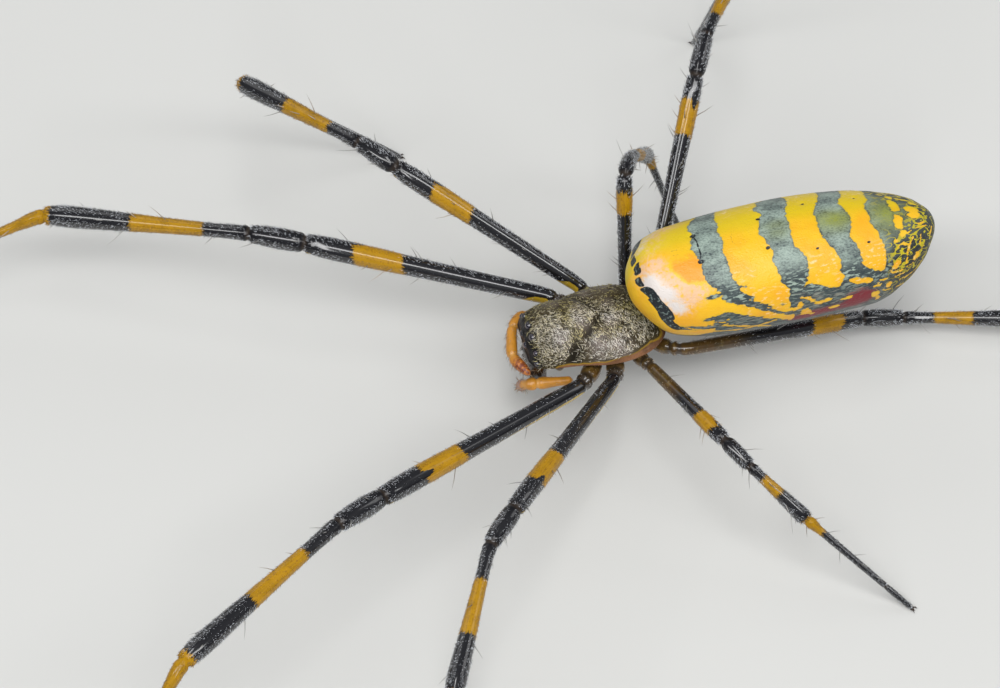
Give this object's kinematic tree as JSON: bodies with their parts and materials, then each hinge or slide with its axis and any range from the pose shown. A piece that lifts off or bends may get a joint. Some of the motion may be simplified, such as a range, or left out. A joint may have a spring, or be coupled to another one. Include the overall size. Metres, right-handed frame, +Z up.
{
  "type": "golden silk orb weaver spider",
  "caption": "Life-size female golden silk orb weaver standing on long banded legs, with a long barred abdomen, hairy carapace and curled palps.",
  "frame": {"origin": "on the floor under the middle of the box round the whole spider", "axes": "+Z up; -Y the way that the spider faces, along its body; +X towards its left side"},
  "size_m": [0.057, 0.0846, 0.0154],
  "materials": {
    "abdomen": "smooth satin cuticle, yellow bars between blue-grey bars, black lines on the sides, dark below",
    "carapace": "flat silver-gold hairs over dark brown cuticle, amber rim",
    "legs": "glossy black cuticle with orange-yellow bands and short grey hairs",
    "hips": "glossy amber-brown cuticle",
    "palps": "satin orange cuticle with dark bristles towards the tip",
    "underside": "satin dark brown cuticle with yellow marks",
    "jaws": "glossy black-brown cuticle",
    "eyes": "polished black"
  },
  "bodies": {
    "root": {"eye_front_middle_left": "eyes", "eye_front_middle_right": "eyes", "eye_rear_middle_left": "eyes", "eye_rear_middle_right": "eyes", "eye_front_side_left": "eyes", "eye_front_side_right": "eyes", "eye_rear_side_left": "eyes", "eye_rear_side_right": "eyes", "carapace": "carapace", "sternum": "underside", "pedicel": "hips", "abdomen": "abdomen", "spinnerets": "underside", "chelicera_left": "jaws", "fang_left": "jaws", "mouth_plate_left": "underside", "palp_left_femur": "palps", "palp_left_tip": "palps", "chelicera_right": "jaws", "fang_right": "jaws", "mouth_plate_right": "underside", "palp_right_femur": "palps", "palp_right_tip": "palps", "leg_left_1_hip": "hips", "leg_left_1_femur": "legs", "leg_left_1_tibia": "legs", "leg_left_1_foot": "legs", "leg_left_2_hip": "hips", "leg_left_2_femur": "legs", "leg_left_2_tibia": "legs", "leg_left_2_foot": "legs", "leg_left_3_hip": "hips", "leg_left_3_femur": "legs", "leg_left_3_tibia": "legs", "leg_left_3_foot": "legs", "leg_left_4_hip": "hips", "leg_left_4_femur": "legs", "leg_left_4_tibia": "legs", "leg_left_4_foot": "legs", "leg_right_1_hip": "hips", "leg_right_1_femur": "legs", "leg_right_1_tibia": "legs", "leg_right_1_foot": "legs", "leg_right_2_hip": "hips", "leg_right_2_femur": "legs", "leg_right_2_tibia": "legs", "leg_right_2_foot": "legs", "leg_right_3_hip": "hips", "leg_right_3_femur": "legs", "leg_right_3_tibia": "legs", "leg_right_3_foot": "legs", "leg_right_4_hip": "hips", "leg_right_4_femur": "legs", "leg_right_4_tibia": "legs", "leg_right_4_foot": "legs"}
  },
  "joints": []
}
